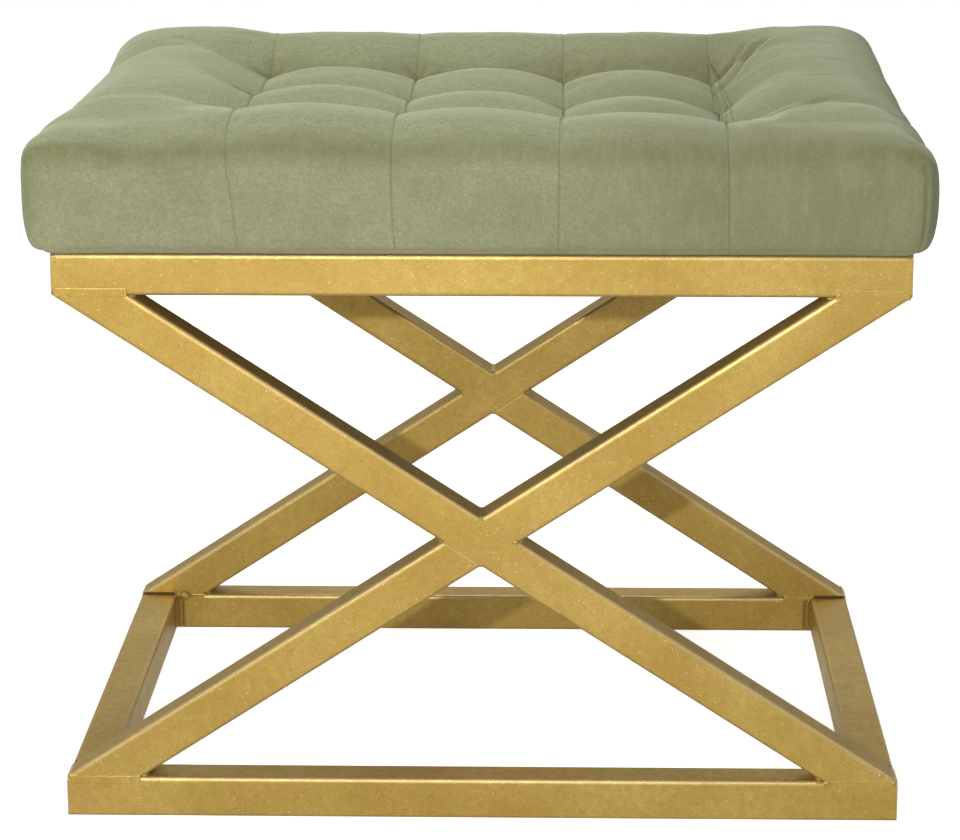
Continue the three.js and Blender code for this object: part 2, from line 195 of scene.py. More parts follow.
def add_floor():
    made = bpy.data.materials.new("floor")
    tree = Tree(made)
    lit = tree.node("ShaderNodeBsdfDiffuse", {"Color": (floor_grey, floor_grey, floor_grey, 1)})
    strength = tree.math("MULTIPLY", ray_that_shows(tree, floor_in_gloss), floor_glow)
    glow = tree.node("ShaderNodeEmission", {"Color": (1, 1, 1, 1), "Strength": strength})
    both = tree.node("ShaderNodeAddShader", {0: lit, 1: glow})
    tree.node("ShaderNodeOutputMaterial", {"Surface": both})
    place = (0, 0, floor_level)
    bpy.ops.mesh.primitive_circle_add(vertices=96, radius=floor_radius, fill_type="NGON", location=place)
    floor = bpy.context.object
    floor.name = "floor"
    floor.data.materials.append(made)


def add_lamp(name, place, size, power, shape="SQUARE"):
    """An area lamp that is aimed at the stool."""
    data = bpy.data.lights.new(name, "AREA")
    data.shape = shape
    data.size = size
    data.energy = power
    lamp = bpy.data.objects.new(name, data)
    lamp.location = place
    aim = Vector(lamp_target) - Vector(place)
    lamp.rotation_euler = aim.to_track_quat("-Z", "Y").to_euler()
    bpy.context.scene.collection.objects.link(lamp)


def add_lamps():
    add_lamp("flash", (-0.22, -2.13, 0.8175), 0.03, 22.5, "DISK")
    add_lamp("left_softbox", (-0.85, -1.9, 1.1), 0.7, 11.5)
    add_lamp("top_softbox", (-0.2, 0.1, 2.4), 1.2, 17.5)
    add_lamp("high_back_softbox", (0, 1.9, 2.3), 0.9, 11)
    add_lamp("back_left_softbox", (-2.0, 1.3, 0.8), 0.9, 5)
    add_lamp("back_right_softbox", (2.0, 1.3, 0.8), 0.9, 3.5)


# Materials

def gold_paint(name, edges_worn_and_lit, painted_corner_shade=0.0):
    """Sprayed gold metallic paint: softly mottled, with fine flecks and pits. Where asked, its edges are pale with
    wear and a painted highlight, mostly on their upper side, and dark with painted shade on their lower side; where
    asked, painted shade darkens all of it for the corners.
    """
    made, tree = material(name, (0.6, 0.45, 0.15, 1))
    at = tree.place()
    clouds = tree.noise(at, 13, 3, 0.55)
    hue = tree.noise(at, 41, 2, 0.5)
    mottle = tree.noise(at, 190, 3, 0.6)
    grain = tree.noise(at, 1500, 1, 0.5)
    cells = tree.node("ShaderNodeTexVoronoi", {"Vector": at, "Scale": 950.0})
    pick = tree.node("ShaderNodeSeparateColor", {"Color": (cells, "Color")})
    near = tree.ramp((cells, "Distance"), 0.5, 0.22)
    fleck = tree.math("MULTIPLY", tree.ramp((pick, "Red"), 0.98, 1.0), near)
    pit = tree.math("MULTIPLY", tree.ramp((pick, "Green"), 0.985, 1.0), near)
    tone = tree.mix(tree.ramp(clouds, 0.35, 0.65), rgba(181, 149, 73), rgba(201, 172, 94))
    tone = tree.layer(tone, hue, 0.45, 0.7, 0.5, (182, 158, 72))
    tone = tree.layer(tone, hue, 0.4, 0.26, 0.3, (200, 158, 98))
    tone = tree.layer(tone, mottle, 0.36, 0.64, 0.3, (158, 124, 56))
    tone = tree.layer(tone, grain, 0.3, 0.7, 0.5, (130, 99, 43))
    tone = tree.layer(tone, fleck, 0, 1, 0.62, (255, 240, 180))
    tone = tree.layer(tone, pit, 0, 1, 0.7, (90, 66, 26))
    # Painted shade: where asked, the tone is darkened and browned all over, for beads that sit in the frame's
    # corners.
    tone = tree.mix(painted_corner_shade, tone, rgba(104, 68, 18))
    soft_edge = None
    if edges_worn_and_lit:
        soft_edge = tree.node("ShaderNodeBevel", {"Radius": 1.6 * MM}, samples=5)
        flat = (tree.node("ShaderNodeNewGeometry"), "True Normal")
        turned = tree.node("ShaderNodeVectorMath", {0: soft_edge, 1: flat}, operation="DOT_PRODUCT")
        edge = tree.ramp((turned, "Value"), 0.998, 0.93)
        up = (tree.axes(soft_edge), "Z")
        # Pale edges: a little wear all round, and mostly a painted highlight on the upper edges. Dark edges: painted
        # shade on the lower edges.
        worn_edge_and_painted_highlight = tree.math("MULTIPLY", edge, tree.ramp(up, -0.25, 0.3, 0.1, 0.75))
        shaded = tree.math("MULTIPLY", edge, tree.ramp(up, -0.2, -0.5, 0.0, 0.7))
        tone = tree.mix(worn_edge_and_painted_highlight, tone, rgba(255, 243, 206))
        tone = tree.mix(shaded, tone, rgba(84, 58, 22))
    orange_peel = tree.bump(tree.noise(at, 420, 2, 0.5), 0.25 * MM, 0.4, soft_edge)
    tree.shade({
        "Base Color": tone,
        "Metallic": 0.55,
        "Specular IOR Level": 0.5,
        "Specular Tint": (0.8, 0.76, 0.62, 1),
        "Roughness": tree.ramp(mottle, 0.3, 0.7, 0.34, 0.45),
        "Normal": tree.bump(grain, 0.08 * MM, 0.5, orange_peel),
    })
    return made


# Heights and places between which the velvet's tone changes: a painted shade band under the front's crest, painted
# shade in the top's hollows and on the right, and a lighter hem.
crest_starts = (0.414, 0.427)
crest_ends = (0.442, 0.433)
crest_wander = 24 * MM
hollow_levels = (0.42, 0.402)
hem_levels = (0.376, 0.36)
right_shade_places = (0.03, 0.15)


def velvet():
    """Sage velvet: a short nap with soft handled patches, faint brush strokes, fine speckle and sheen, with painted
    light on its upward faces and painted shade under the front's crest, in the top's hollows and towards the right.
    """
    made, tree = material("velvet", (0.33, 0.36, 0.2, 1))
    at = tree.place()
    patches = tree.noise(at, 17, 5, 0.65)
    brushed = tree.noise(tree.place((2.6, 0.7, 0.7)), 80, 3, 0.6)
    rubbed = tree.noise(tree.place((0.5, 2.2, 2.2)), 95, 3, 0.6)
    speckle = tree.noise(at, 850, 3, 0.7)
    blot = tree.noise(at, 330, 2, 0.6)
    facing = tree.axes((tree.node("ShaderNodeNewGeometry"), "Normal"))
    spot = tree.axes(at)
    wandering = tree.math("MULTIPLY", tree.noise(at, 13, 4, 0.65), crest_wander)
    height = tree.math("ADD", (spot, "Z"), wandering)
    crest = tree.math("MULTIPLY", tree.ramp(height, *crest_starts), tree.ramp(height, *crest_ends))
    painted_band_shade = tree.math("MULTIPLY", crest, tree.ramp((facing, "Y"), -0.3, -0.65))
    upwards = tree.ramp((facing, "Z"), 0.35, 0.8)
    hollow = tree.math("MULTIPLY", upwards, tree.ramp((spot, "Z"), *hollow_levels, 0.0, 0.45))
    rightwards = tree.ramp((spot, "X"), *right_shade_places, 0.0, 0.56)
    painted_right_shade = tree.math("MULTIPLY", rightwards, tree.ramp((facing, "Y"), 0, -0.5, 0.7, 1.0))
    tone = tree.mix(tree.ramp(patches, 0.36, 0.64), rgba(138, 140, 106), rgba(156, 159, 125))
    # Painted light: faces that turn upwards are lighter.
    tone = tree.layer(tone, upwards, 0, 1, 0.6, (179, 185, 148))
    tone = tree.layer(tone, (spot, "Z"), *hem_levels, 0.3, (172, 168, 138))
    # Painted shade in the top's hollows, on faces that turn upwards.
    tone = tree.mix(hollow, tone, rgba(126, 128, 92))
    # Painted shade: darker towards the right, most on the front.
    tone = tree.mix(painted_right_shade, tone, rgba(114, 115, 82))
    # Painted shade: a darker band under the crest of the front face.
    tone = tree.layer(tone, painted_band_shade, 0, 1, 0.8, (114, 115, 78))
    tone = tree.layer(tone, brushed, 0.4, 0.68, 0.2, (172, 174, 138))
    tone = tree.layer(tone, rubbed, 0.45, 0.7, 0.2, (132, 134, 97))
    tone = tree.layer(tone, blot, 0.4, 0.7, 0.35, (126, 126, 90))
    tone = tree.layer(tone, speckle, 0.36, 0.64, 0.55, (108, 109, 74))
    tone = tree.layer(tone, speckle, 0.62, 0.7, 0.5, (204, 206, 170))
    crushed = tree.bump(blot, 0.5 * MM, 0.35)
    tree.shade({
        "Base Color": tone,
        "Roughness": 0.95,
        "Specular IOR Level": 0.15,
        "Sheen Weight": 0.3,
        "Sheen Roughness": 0.4,
        "Sheen Tint": (0.86, 0.92, 0.7, 1),
        "Normal": tree.bump(speckle, 0.25 * MM, 0.6, crushed),
    })
    return made


def plain_material(name, dark, light, scale, roughness, metallic=0.0, stretch=(1, 1, 1), bump=0.2 * MM):
    """A two tone material whose grain runs along its stretched axis."""
    made, tree = material(name, rgba(*light))
    grain = tree.noise(tree.place(stretch), scale, 4, 0.6)
    tree.shade({
        "Base Color": tree.mix(tree.ramp(grain, 0.35, 0.65), rgba(*dark), rgba(*light)),
        "Roughness": roughness,
        "Metallic": metallic,
        "Normal": tree.bump(grain, bump, 0.6),
    })
    return made


# Meshes

def add_piece(name, points, faces, surface):
    """A smooth mesh piece that rides on the stool's only body."""
    mesh = bpy.data.meshes.new(name)
    mesh.from_pydata([tuple(p) for p in points], [], faces)
    mesh.materials.append(surface)
    mesh.polygons.foreach_set("use_smooth", [True] * len(mesh.polygons))
    mesh.update()
    piece = bpy.data.objects.new(name, mesh)
    bpy.context.scene.collection.objects.link(piece)
    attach(piece, "root")
    return piece


def turn_faces_out(piece, close=False):
    """Turns a piece's faces outwards. Where asked, its open edge is closed first with one flat face."""
    shell = bmesh.new()
    shell.from_mesh(piece.data)
    if close:
        made = bmesh.ops.contextual_create(shell, geom=[e for e in shell.edges if e.is_boundary])
        for face in made["faces"]:
            face.smooth = False
    bmesh.ops.recalc_face_normals(shell, faces=shell.faces)
    shell.to_mesh(piece.data)
    shell.free()


def closed_piece(name, parts, surface):
    """One piece made of closed parts, each with its points and faces."""
    points, faces = [], []
    for part_points, part_faces in parts:
        start = len(points)
        points += part_points
        faces += [tuple(i + start for i in face) for face in part_faces]
    piece = add_piece(name, points, faces, surface)
    turn_faces_out(piece)
    return piece


def tube_faces(rings, sides):
    """The faces of a tube through rings of points, and of its two ends."""
    faces = []
    for k in range(rings - 1):
        for i in range(sides):
            j = (i + 1) % sides
            faces.append((k * sides + i, k * sides + j, (k + 1) * sides + j, (k + 1) * sides + i))
    faces.append(tuple(range(sides - 1, -1, -1)))
    faces.append(tuple(range((rings - 1) * sides, rings * sides)))
    return faces


# Cushion: its outer sizes come from the frame's cover, and its tufts stand on the frame's ties.

cover_low, cover_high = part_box("velvet_cover")
roll_width = 60 * MM
roll_depth = 46 * MM
corner_radius = 16 * MM
waist = cover_high.z - roll_depth
hem_level = cover_low.z + 0.3 * MM
right_short = 3.6 * MM
flat_left = cover_low.x + roll_width
flat_right = cover_high.x - right_short - roll_width
flat_front = cover_low.y + roll_width
flat_back = cover_high.y - roll_width

# The rings of the hem's lip: how far each lies inwards of the side's lowest ring, and its height.
hem_lip = ((0.2 * MM, hem_level - 1.9 * MM), (2 * MM, hem_level - 1.8 * MM), (3.2 * MM, hem_level - 0.1 * MM))


def middle_of(node):
    low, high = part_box(node)
    return (low + high) / 2


tuft_columns = [middle_of(f"tuft_tie_front_{n}").x for n in (1, 2, 3, 4)]
tuft_rows = [middle_of(f"tuft_tie_{row}_1").y for row in ("front", "middle", "back")]
tuft_spacing = tuft_columns[1] - tuft_columns[0]
tufts = [(x, y) for y in tuft_rows for x in tuft_columns]

# Tables of the worn cushion's form, in millimetres. Each line of places goes with the lines of values below it.

# The top's sag along its depth, how much it gains to the right, and the sag beyond the outer columns of tufts.
sag_at = (-147, -49, 49, 147)
sag_by_row = (7.4, 11.4, 13.9, 2.3)
sag_to_right = (0.025, 0.036, 0.013, 0)
outer_sag_at = (-165, -147, -110, -80, -49, 0, 49, 98, 147)
left_outer_sag = (14, 11.5, 7, 5, 3.6, 2.6, 2.2, 1.2, 0)
right_outer_sag = (15, 13, 9.5, 7.5, 6, 4, 2.5, 1.2, 0.4)

# The depth of each row's fold, from the outer columns of tufts outwards.
fold_at = (0, 18, 38, 60, 85)
left_folds = ((12.5, 7.5, 4.4, 1.4, 0.2), (12.5, 4.5, 1.4, 0.4, 0.1), (12.5, 9, 6.4, 3.6, 1.2))
right_folds = ((12.5, 6.5, 4.4, 3.2, 1), (12.5, 4, 1.2, 0.5, 0.2), (12.5, 4.5, 1.2, 0.4, 0.1))

# Along the depth: the seams' depth and its gain to the right, the roll's reach beyond the flat on either side, and
# its fullness, which is 1 for a quarter of an ellipse and less for a squarer form.
along_depth = (-205, -147, -98, -49, 0, 49, 98, 147, 205)
seam_depth = (3.5, 5, 10, 10, 10, 10, 10, 1.5, 1.5)
seam_more_at_right = (0, 0, 0, 4.5, 0, 4.2, 0, 0, 0)
left_reach = (60, 57.5, 54.5, 57, 56.5, 55, 53.5, 55, 56)
right_reach = (60, 60.4, 61.4, 61.4, 61, 60.6, 59.8, 59.4, 58.6)
left_fullness = (0.24, 0.36, 0.64, 0.84, 0.9, 0.88, 0.92, 0.8, 0.7)
right_fullness = (0.42, 0.52, 0.7, 0.8, 0.78, 0.72, 0.64, 0.54, 0.46)

# How far each of the front face's four seams stands aside, by height.
seam_levels = (355, 371, 387, 404, 415, 424, 431)
seam_shifts = (
    (5.5, 4.5, 2.9, 0, -1.1, -2.2, -1.7),
    (-0.2, -1.1, -1.9, -2.2, -2.3, -2.3, -2.2),
    (-2.7, -2.6, -2.5, -2.4, -2.3, -2, -1.2),
    (-0.8, -1.3, -1.7, -1.7, -1.7, -1.2, -0.7),
)

# The rest of its form.
crown_drop = 0.2 * MM
wadding = 9 * MM
face_dip = 1.8 * MM
seam_swell = 0.7
fold_swell = 0.85
fold_fade = 0.65
right_gain_from, right_gain_over = -49, 130
front_fullness_at_ends = 0.78
roll_evenness = 0.6
side_tuck, corner_tuck = 14 * MM, 10 * MM
side_tuck_power, corner_tuck_power = 0.8, 0.55
tuck_ease = 0.7
tuck_steepness = 0.9
corner_crowding = 1.5
column_crowding, row_crowding = 0.78, 0.35
outer_share_of_steps = 0.7
tiny = 1e-9


def table(value, places, values):
    return np.interp(np.asarray(value) / MM, places, values)


def by_side(side, value, places, left, right):
    """The left table's value where the side is negative, and the right one's elsewhere."""
    return np.where(side < 0, table(value, places, left), table(value, places, right))


def share_of(n, place, stops):
    """1 at the stop with number n, falling to 0 at its neighbours."""
    return np.interp(place, stops, [1.0 if k == n else 0.0 for k in range(len(stops))])


def swell(place, lines, share):
    """0 on a line of tufts, 1 midway between two lines, and 1 again well beyond the outer ones."""
    inside = ((place - lines[0]) / tuft_spacing) % 1
    beyond = np.maximum(lines[0] - place, place - lines[-1])
    phase = np.where(beyond > 0, np.clip(2 * beyond / tuft_spacing, 0, 1) / 2, inside)
    return np.maximum(np.sin(np.pi * phase), 0) ** share


def margin(place, lines):
    """0 among the tufts, rising to 1 half a spacing beyond the outer line."""
    beyond = np.maximum(lines[0] - place, place - lines[-1])
    return smooth(2 * beyond / tuft_spacing)


def fold_depth(x, y):
    """How deep the rows' folds are: all alike among the tufts, and fading outwards, each in its own way."""
    beyond = np.maximum(np.maximum(tuft_columns[0] - x, x - tuft_columns[-1]), 0)
    depth = np.zeros_like(beyond)
    for n, (left, right) in enumerate(zip(left_folds, right_folds)):
        depth += share_of(n, y, tuft_rows) * by_side(x, beyond, fold_at, left, right)
    return depth * MM


def top_height(x, y):
    """The height of the cushion's top over a point of its flat."""
    sag = table(y, sag_at, sag_by_row) + table(y, sag_at, sag_to_right) * x / MM
    outer = by_side(x, y, outer_sag_at, left_outer_sag, right_outer_sag)
    crown = cover_high.z - crown_drop - lerp(np.maximum(sag, 0), outer, margin(x, tuft_columns)) * MM
    fold = fold_depth(x, y) * (1 - fold_fade * margin(y, tuft_rows))
    rightwards = np.clip((x / MM - right_gain_from) / right_gain_over, 0, 1)
    seam = (table(y, along_depth, seam_depth) + rightwards * table(y, along_depth, seam_more_at_right)) * MM
    return crown - seam * (1 - swell(x, tuft_columns, seam_swell)) - fold * (1 - swell(y, tuft_rows, fold_swell))


def grid_lines(low, lines, high, steps, crowding):
    """Places from low to high that crowd towards each line of tufts."""
    places = []
    stops = [low, *lines, high]
    last = len(stops) - 2
    for n, (a, b) in enumerate(zip(stops, stops[1:])):
        count = steps if 0 < n < last else round(steps * outer_share_of_steps)
        for k in range(count):
            t = k / count
            if n == 0:
                t = (1 - crowding) * t + crowding * math.sin(quarter * t)
            elif n == last:
                t = (1 - crowding) * t + crowding * (1 - math.cos(quarter * t))
            else:
                t -= crowding * math.sin(2 * math.pi * t) / (2 * math.pi)
            places.append(lerp(a, b, t))
    return np.array(places + [high])


def with_roll(flat, steps):
    """A line of the grid: place on the flat, turn of the roll from 0 to a quarter, and side."""
    turns = quarter * np.arange(1, steps + 1) / steps
    place = np.concatenate([np.full(steps, flat[0]), flat, np.full(steps, flat[-1])])
    turn = np.concatenate([turns[::-1], np.zeros(len(flat)), turns])
    side = np.concatenate([np.full(steps, -1.0), np.zeros(len(flat)), np.full(steps, 1.0)])
    return np.stack([place, turn, side])


def ring_place(reach, x, turn_x, side_x, y, turn_y, side_y):
    """Where a ring that lies reach beyond the flat passes in plan, with its corners rounded."""
    larger = np.maximum(np.maximum(turn_x, turn_y), tiny)
    radius = np.minimum(reach, corner_radius)
    straight = reach - radius
    crowded = 1 - (1 - np.minimum(turn_x, turn_y) / larger) ** corner_crowding
    way = crowded * (straight + radius * math.pi / 4)
    arc = np.maximum(way - straight, 0) / np.maximum(radius, tiny)
    out = straight + radius * np.cos(arc)
    up = np.minimum(way, straight) + radius * np.sin(arc)
    first = turn_x >= turn_y
    out_x = np.where(turn_x > 0, np.where(first, out, up), 0)
    out_y = np.where(turn_y > 0, np.where(first, up, out), 0)
    return x + side_x * out_x, y + side_y * out_y


def side_form(x, turn_x, side_x, y, turn_y, side_y):
    """The reach and fullness of the roll at a place, mixed between its two sides at a corner."""
    lying = lerp(1, front_fullness_at_ends, margin(x, tuft_columns))
    reach_x = by_side(side_x, y, along_depth, left_reach, right_reach) * MM
    full_x = by_side(side_x, y, along_depth, left_fullness, right_fullness)
    share = smooth(turn_x / np.maximum(turn_x + turn_y, tiny))
    dip = face_dip * (1 - swell(x, tuft_columns, seam_swell)) * (side_x == 0)
    full_y = np.where(side_x == 0, lying, full_x)
    reach = lerp(roll_width, reach_x, share * (turn_x > 0)) - dip
    return reach, lerp(full_y, full_x, share * (turn_x > 0))


def seam_shift(x, y, z):
    """How far the front face's seams, and the velvet beside them, stand aside from the tufts' lines."""
    front = np.clip((tuft_rows[0] - y) / (tuft_rows[0] - flat_front), 0, 1)
    stops = [flat_left, *tuft_columns, flat_right]
    shift = np.zeros_like(x)
    for n, shifts in enumerate(seam_shifts, 1):
        shift += share_of(n, x, stops) * table(z, seam_levels, shifts)
    return shift * MM * front


def rings_below_waist(reach, corner, steps):
    """The reach and height of each ring below the waist: the tucked side, then the hem's lip."""
    rings = []
    for k in range(1, steps + 1):
        turn = quarter * k / steps
        power = lerp(side_tuck_power, corner_tuck_power, corner)
        bulge = lerp(side_tuck, corner_tuck, corner) * (1 - max(math.cos(turn), 0) ** power)
        eased = reach + (roll_width - reach) * (1 - math.cos(turn)) * tuck_ease
        rings.append((eased - bulge, waist - (waist - hem_level) * math.sin(turn) ** tuck_steepness))
    lowest = rings[-1][0]
    return rings + [(lowest - inwards, level) for inwards, level in hem_lip]


def cushion_mesh(cell_steps, roll_steps, tuck_steps):
    """The cover as quads: a grid over the top and its rolled edges, then rings down to the hem."""
    columns = with_roll(grid_lines(flat_left, tuft_columns, flat_right, cell_steps, column_crowding), roll_steps)
    rows = with_roll(grid_lines(flat_front, tuft_rows, flat_back, cell_steps, row_crowding), roll_steps)
    wide, deep = columns.shape[1], rows.shape[1]
    x, turn_x, side_x = (np.tile(v, deep) for v in columns)
    y, turn_y, side_y = (np.repeat(v, wide) for v in rows)
    reach, fullness = side_form(x, turn_x, side_x, y, turn_y, side_y)
    turn = np.arctan(np.tan(np.maximum(turn_x, turn_y)) ** (fullness ** -roll_evenness))
    px, py = ring_place(reach * np.sin(turn) ** fullness, x, turn_x, side_x, y, turn_y, side_y)
    pz = waist + (top_height(x, y) - waist) * np.maximum(np.cos(turn), 0) ** fullness
    points = [np.stack([px, py, pz], 1)]

    grid = np.arange(deep * wide).reshape(deep, wide)
    a, b, c, d = grid[:-1, :-1], grid[:-1, 1:], grid[1:, 1:], grid[1:, :-1]
    faces = [np.stack([a.ravel(), b.ravel(), c.ravel(), d.ravel()], 1)]
    rim = np.concatenate([grid[0], grid[1:, -1], grid[-1, -2::-1], grid[-2:0:-1, 0]])
    at_rim = [v[rim] for v in (x, turn_x, side_x, y, turn_y, side_y)]
    corner = smooth(np.minimum(turn_x, turn_y)[rim] / quarter)
    above, start = rim, deep * wide
    for out, level in rings_below_waist(reach[rim], corner, tuck_steps):
        px, py = ring_place(out, *at_rim)
        points.append(np.stack([px, py, np.full(len(rim), level)], 1))
        below = np.arange(start, start + len(rim))
        faces.append(np.stack([above, below, np.roll(below, -1), np.roll(above, -1)], 1))
        above, start = below, start + len(rim)
    points = np.concatenate(points)
    points[:, 0] += seam_shift(*points.T)
    return points, np.concatenate(faces)


# What is cut into the cover, in millimetres. A fold has its width and its path, and each point of a path gives two
# places and the fold's depth there.
top_folds = (
    (4, ((150, 50, 1.5), (159, 58, 5), (166, 82, 7), (173, 103, 7), (180, 115, 5), (188, 129, 0))),
    (3, ((150, 72, 0), (158, 99, 3.6), (165, 108, 4.4), (169, 118, 3), (175, 131, 0))),
    (4, ((150, -98, 0), (166, -112, 1), (182, -115, 1.7), (195, -104, 1.8), (207, -95, 1.3), (226, -88, 0))),
    (4, ((-150, -98, 0), (-170, -101, 1.6), (-184, -98, 2), (-196, -94, 1.4), (-206, -86, 0))),
    (5, ((154, -34, 0), (168, -42, 0.9), (182, -56, 0))),
    (5, ((-170, 92, 0), (-196, 90, 1.2), (-222, 98, 0))),
    (3.5, ((192, -32, 0), (204, -26, 0.5), (218, -25, 0.6), (231, -17, 0.4), (248, 6, 0))),
    (2.5, ((184, 46, 0), (189, 52, 0.9), (195, 60, 0))),
    (3, ((63, 36, 0), (62.5, 24, 1.3), (62, 12, 0))),
)
front_folds = (
    (2.5, ((149, 371, 0), (158, 366, 0.7), (176, 361, 0))),
    (5, ((254, 418, 0), (252, 414, 2.4), (255, 406, 0))),
    (9, ((235, 424, 0), (234, 417, 1.2), (231, 404, 0))),
)

# A groove's section: how sharp it is, then its shoulder's height, place and width as shares of its own.
groove_power = 1.5
shoulder_height, shoulder_away, shoulder_width = 0.16, 1.7, 0.8

# The column seams, each with a low lip of velvet on its left, and the seam down the front right corner.
seam_half_width, seam_cut = 0.8, 0.6
seam_lip_height, seam_lip_away, seam_lip_width = 0.25, 1.7, 0.7
seam_fades_over = 4
corner_seam_turn = math.radians(61)
corner_seam_radius, corner_seam_width, corner_seam_cut = 16, 1.8, 1.5
corner_seam_top = 424

# The tufts and the puckers round them, the filling's unevenness, and the velvet's room over the ties.
tuft_width, tuft_cut = 4.5, 2.2
pucker_away, pucker_width, pucker_cut = 9, 5, 0.32
filling_lumps = ((36, 0.6), (95, 0.22))
lumps_fade_over = 12
tie_reach, tie_depth, tie_cover = 8, 10, 1.2

# What holds the velvet while the filling pushes it, in millimetres, and how far and how long it is pushed.
seam_hold = 2.5
tuft_hold = 7
hem_hold, hem_hold_fade = 14, 10
tufts_hold_down_to = 30
puff_limit = 1.6
puff_steps = 12

# The machine's stitches, in millimetres.
stitch_pitch = 3.1
stitch_length = 2.2
stitch_radius = 0.3
stitch_root, stitch_crest = -0.35, 0.12
stitch_places = (0, 0.25, 0.5, 0.75, 1)
stitch_sides = 6
stitches_above_hem = 3
stitches_turn_at = 14
ray_pitch = 1.5
ray_start = 100


def of_vertices(mesh, name):
    """The places ("co") or the normals ("normal") of a mesh's vertices."""
    found = np.empty(len(mesh.vertices) * 3, np.float32)
    mesh.vertices.foreach_get(name, found)
    return found.reshape(-1, 3).astype(float)


def set_coordinates(mesh, points):
    mesh.vertices.foreach_set("co", np.asarray(points, np.float32).ravel())
    mesh.update()


def seam_line(column, y, z):
    """Where a seam passes at each height of the front face, and along the top."""
    return column + seam_shift(np.full_like(y, column), y, z)


def from_seams(points):
    """Each point's distance from the nearest column seam, in millimetres, with a minus sign on its left."""
    lines = np.stack([seam_line(c, points[:, 1], points[:, 2]) for c in tuft_columns])
    away = (points[:, 0] - lines) / MM
    nearest = np.argmin(np.abs(away), 0)
    return np.take_along_axis(away, nearest[None], 0)[0]


def from_path(places, path):
    """Each place's distance from a path in a plane, and the depth that the path has beside it."""
    best = np.full(len(places), np.inf)
    depth = np.zeros(len(places))
    for (ax, ay, ad), (bx, by, bd) in zip(path, path[1:]):
        a, way = np.array((ax, ay)), np.array((bx - ax, by - ay))
        t = np.clip((places - a) @ way / (way @ way), 0, 1)
        away = np.linalg.norm(places - a - t[:, None] * way, axis=1)
        nearer = away < best
        best = np.where(nearer, away, best)
        depth = np.where(nearer, lerp(ad, bd, t), depth)
    return best, depth


def groove(away, width):
    """1 on a fold's line, 0 beyond its width, with a low shoulder beside it."""
    shoulder = np.exp(-((away - shoulder_away * width) / (shoulder_width * width)) ** 2)
    return np.maximum(1 - away / width, 0) ** groove_power - shoulder_height * shoulder


def held_by_sewing(points):
    """How firmly each point is held while the filling pushes: 1 on the seams, the tufts and the hem."""
    across = np.exp(-(from_seams(points) / seam_hold) ** 2)
    tuft = np.zeros(len(points))
    for x, y in tufts:
        away = np.hypot(points[:, 0] - x, points[:, 1] - y) / MM
        tuft = np.maximum(tuft, np.exp(-(away / tuft_hold) ** 2))
    low = smooth((hem_level + hem_hold * MM - points[:, 2]) / (hem_hold_fade * MM))
    on_side = points[:, 2] < waist - tufts_hold_down_to * MM
    return np.round(np.where(on_side, np.maximum(low, across), np.maximum(across, tuft)), 1)


def puff(piece):
    """Lets the filling push the velvet out between the seams, tufts and hem that hold it, by a cloth simulation."""
    mesh = piece.data
    start = of_vertices(mesh, "co")
    hold = held_by_sewing(start)
    group = piece.vertex_groups.new(name="held")
    for weight in np.unique(hold):
        group.add(np.flatnonzero(hold == weight).tolist(), float(weight), "REPLACE")
    cloth = piece.modifiers.new("filling", "CLOTH")
    cloth.settings.quality = 5
    cloth.settings.mass = 0.3
    cloth.settings.tension_stiffness = cloth.settings.compression_stiffness = 12
    cloth.settings.shear_stiffness = 6
    cloth.settings.bending_stiffness = 0.6
    cloth.settings.vertex_group_mass = group.name
    cloth.settings.use_pressure = True
    cloth.settings.uniform_pressure_force = 4
    cloth.settings.effector_weights.gravity = 0
    cloth.collision_settings.use_collision = False
    cloth.point_cache.frame_start = 1
    cloth.point_cache.frame_end = puff_steps
    scene = bpy.context.scene
    for step in range(1, puff_steps + 1):
        scene.frame_set(step)
    swollen = piece.evaluated_get(bpy.context.evaluated_depsgraph_get())
    move = of_vertices(swollen.data, "co") - start
    piece.modifiers.remove(cloth)
    piece.vertex_groups.remove(group)
    scene.frame_set(1)
    length = np.linalg.norm(move, axis=1, keepdims=True)
    set_coordinates(mesh, start + move * np.minimum(1, puff_limit * MM / np.maximum(length, tiny)))


def apply_modifiers(piece):
    evaluated = piece.evaluated_get(bpy.context.evaluated_depsgraph_get())
    mesh = bpy.data.meshes.new_from_object(evaluated)
    piece.modifiers.clear()
    piece.data = mesh


def corner_seam(points):
    """The cut of the seam down the front right corner."""
    corner = np.array((flat_right + roll_width - corner_radius, flat_front - roll_width + corner_radius))
    turned = points[:, :2] - corner
    around = np.arctan2(-turned[:, 1], turned[:, 0])
    at_corner = (turned[:, 0] > 0) & (turned[:, 1] < 0) & (points[:, 2] < corner_seam_top * MM)
    away = np.abs(around - corner_seam_turn) * corner_seam_radius
    return at_corner * corner_seam_cut * groove(away, corner_seam_width)


def clear_ties(points):
    """Keeps the velvet over the tops of the tuft ties."""
    tie_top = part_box("tuft_tie_middle_4")[1].z
    for x, y in tufts:
        near = np.hypot(points[:, 0] - x, points[:, 1] - y) < tie_reach * MM
        over = near & (points[:, 2] > tie_top - tie_depth * MM)
        points[over, 2] = np.maximum(points[over, 2], tie_top + tie_cover * MM)


